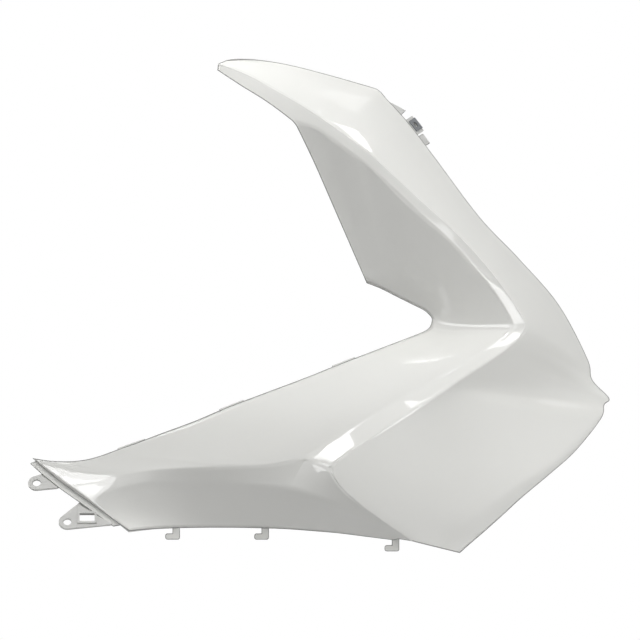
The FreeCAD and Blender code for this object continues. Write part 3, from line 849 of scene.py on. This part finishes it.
def plainPlastic(name):
    # colour from a soft cloud; a fine grain in the roughness and the bump
    look = plainLooks[name]
    material, tree = newMaterial(name)
    cloud = noise(tree, "cloud", look["cloud"])
    grain = noise(tree, "grain", look["grain"])
    return principled(material, tree, {
        "Base Color": mixed(tree, cloud, look["tones"]),
        "Roughness": look["roughness"] + grain * look["grainRoughness"],
        "Normal": bumped(tree, grain, look)})


steelLook = {
    "tones": ((0.13, 0.14, 0.15), (0.24, 0.25, 0.26)), "cloud": 220.0, "grain": 1800.0, "metallic": 0.7,
    "roughness": 0.32, "cloudRoughness": 0.2, "bump": 0.15, "bumpDepth": 0.0002,
}


def springSteel():
    # dark steel with a cloud in its colour and roughness, and a fine grain
    look = steelLook
    material, tree = newMaterial("springSteel")
    cloud = noise(tree, "cloud", look["cloud"])
    grain = noise(tree, "grain", look["grain"])
    return principled(material, tree, {
        "Base Color": mixed(tree, cloud, look["tones"]),
        "Roughness": look["roughness"] + cloud * look["cloudRoughness"],
        "Metallic": look["metallic"],
        "Normal": bumped(tree, grain, look)})


def seenAsBackground(tree):
    # 1 for rays from the camera, or from a gloss or a glass that shows what lies behind
    ways = ("Is Camera Ray", "Is Glossy Ray", "Is Transmission Ray")
    return sum(Shade.node(tree, "ShaderNodeLightPath", {}, {}, way) for way in ways).math("MINIMUM", 1.0)


light = {
    "world": 0.22, "aim": (0.25, 0, 0.2),
    # azimuth to the right and height angle seen from the aim, distance, width and height in metres, power
    "lamps": {
        "topLamp": (-5, 53, 1.7, (2.2, 1.0), 13.5),
        "nearTopLamp": (-22, 60, 0.85, (0.5, 0.4), 2.4),
        "leftLamp": (-70, 35, 1.8, (1.2, 1.2), 5.2),
        "rightLamp": (54, -11, 0.75, (0.5, 0.5), 1.5),
        "backLamp": (165, 30, 1.8, (1.2, 1.2), 16.0),
    },
    # bright panels that only show as reflections in the gloss
    "panels": {
        "crestPanel": (62.2, 49.2, 1.66, (0.23, 0.17), 1.1),
        "bladePanel": (88, 57, 6, (1.05, 0.85), 4.0),
        "facetPanel": (-39.5, 40, 6, (1.26, 0.73), 26.0),
        "apexPanel": (-42.5, 44, 6, (1.0, 2.6), 50.0),
        "stripPanel": (24.4, -3, 0.227, (0.06, 0.09), 0.06),
        "apexLowPanel": (33.3, -25.6, 0.215, (0.08, 0.05), 0.085),
        "valleyPanel": (-56, -9, 1.1, (0.35, 0.6), 3.4),
        "leftHighPanel": (-45.6, 15.5, 6, (0.4, 0.55), 5.0),
        "leftLowPanel": (-44.9, 7, 6, (0.4, 0.84), 6.0),
    },
}


def makeWorld():
    # white where it is seen as the background, and a low even light elsewhere
    world = bpy.data.worlds.new("studio")
    bpy.context.scene.world = world
    world.use_nodes = True
    tree = world.node_tree
    tree.nodes.clear()
    strength = light["world"] + (1 - light["world"]) * seenAsBackground(tree)
    shader = Shade.node(tree, "ShaderNodeBackground", {}, {"Color": (1, 1, 1, 1), "Strength": strength})
    closeTree(tree, "ShaderNodeOutputWorld", shader)


def softbox(name, azimuth, height, distance, size, power, reflected):
    # area lamp that faces the aim; it either lights the surfaces or shows in their gloss
    lamp = bpy.data.lights.new(name, "AREA")
    lamp.shape = "RECTANGLE"
    lamp.size, lamp.size_y = size
    lamp.energy = power
    made = bpy.data.objects.new(name, lamp)
    turn, rise = math.radians(azimuth), math.radians(height)
    away = Vector((math.sin(turn) * math.cos(rise), -math.cos(turn) * math.cos(rise), math.sin(rise)))
    made.location = Vector(light["aim"]) + away * distance
    made.rotation_euler = away.to_track_quat("Z", "Y").to_euler()
    made.visible_glossy = reflected
    made.visible_diffuse = not reflected
    made.visible_camera = False
    bpy.context.collection.objects.link(made)


floorLook = {"drop": 0.5, "reach": (-2, 2.5), "tone": 0.66, "toneRange": 0.04, "cloud": 40.0, "plain": 0.7}


def makeStage():
    # floor below the part; a share of white where it is seen as the background
    low = -floorLook["drop"]
    near, far = floorLook["reach"]
    corners = np.array([(near, near, low), (far, near, low), (far, far, low), (near, far, low)]) / unit
    material, tree = newMaterial("paleFloor")
    tones = [floorLook["tone"]] * 3, [floorLook["tone"] + floorLook["toneRange"]] * 3
    colour = mixed(tree, noise(tree, "cloud", floorLook["cloud"]), tones)
    lit = Shade.node(tree, "ShaderNodeBsdfDiffuse", {}, {"Color": colour})
    plain = Shade.node(tree, "ShaderNodeEmission", {}, {"Color": (1, 1, 1, 1), "Strength": 1.0})
    share = seenAsBackground(tree) * floorLook["plain"]
    shader = Shade.node(tree, "ShaderNodeMixShader", {}, {0: share, 1: lit, 2: plain})
    closeTree(tree, "ShaderNodeOutputMaterial", shader)
    floor = meshPiece("floor", corners, [[0, 1, 2, 3]], [material], False)


# the middle is the station at the picture's middle, and width is what the picture shows at the inward plane
view = {"lens": 500.0, "sensor": 36.0, "width": 0.64, "middle": (320, 320), "plane": -0.02, "clipEnd": 100}


def makeCamera():
    # long lens that looks straight at the outer face, from where the picture is as wide as it should be
    camera = bpy.data.cameras.new("camera")
    camera.lens = view["lens"]
    camera.sensor_width = view["sensor"]
    camera.clip_end = view["clipEnd"]
    made = bpy.data.objects.new("camera", camera)
    across, down = view["middle"]
    distance = view["width"] * view["lens"] / view["sensor"]
    sideways, upward = (across - sheetOrigin[0]) * unit, (sheetOrigin[1] - down) * unit
    made.location = (sideways, view["plane"] - distance, upward)
    made.rotation_euler = (math.pi / 2, 0, 0)
    bpy.context.collection.objects.link(made)
    bpy.context.scene.camera = made


white, steel = pearlWhite(), springSteel()
# the dark edge material paints shade along edges; as the last material of a list it goes on the bevels
innerWhite, edgeShade = plainPlastic("innerPlastic"), plainPlastic("paintedEdgeShade")
coated = [white, edgeShade]
# ears, tabs and lugs take the bare moulding, whose tone is darkened as painted shade
bareShaded = [plainPlastic("bareShadedPlastic"), edgeShade]
print("stage: materials made")

moulding = makeSkin(white, innerWhite, edgeShade) + [rearFlange(coated)] + makeEars(bareShaded)
moulding += makeTabs(bareShaded) + makeLugs(bareShaded)
moulding += [makeHook(n + 1, station, coated) for n, station in enumerate(hooks["stems"])]
for piece in moulding:
    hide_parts("panel")
    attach(piece, "root")
print("stage: moulding made")

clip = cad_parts["clip_nut"]
clip.data.materials.clear()
clip.data.materials.append(steel)
print("stage: clip nut finished")

makeWorld()
for name, box in light["lamps"].items():
    softbox(name, *box, False)
for name, box in light["panels"].items():
    softbox(name, *box, True)
makeStage()
makeCamera()
bpy.context.scene.view_settings.view_transform = "Standard"
print("stage: light and camera made")
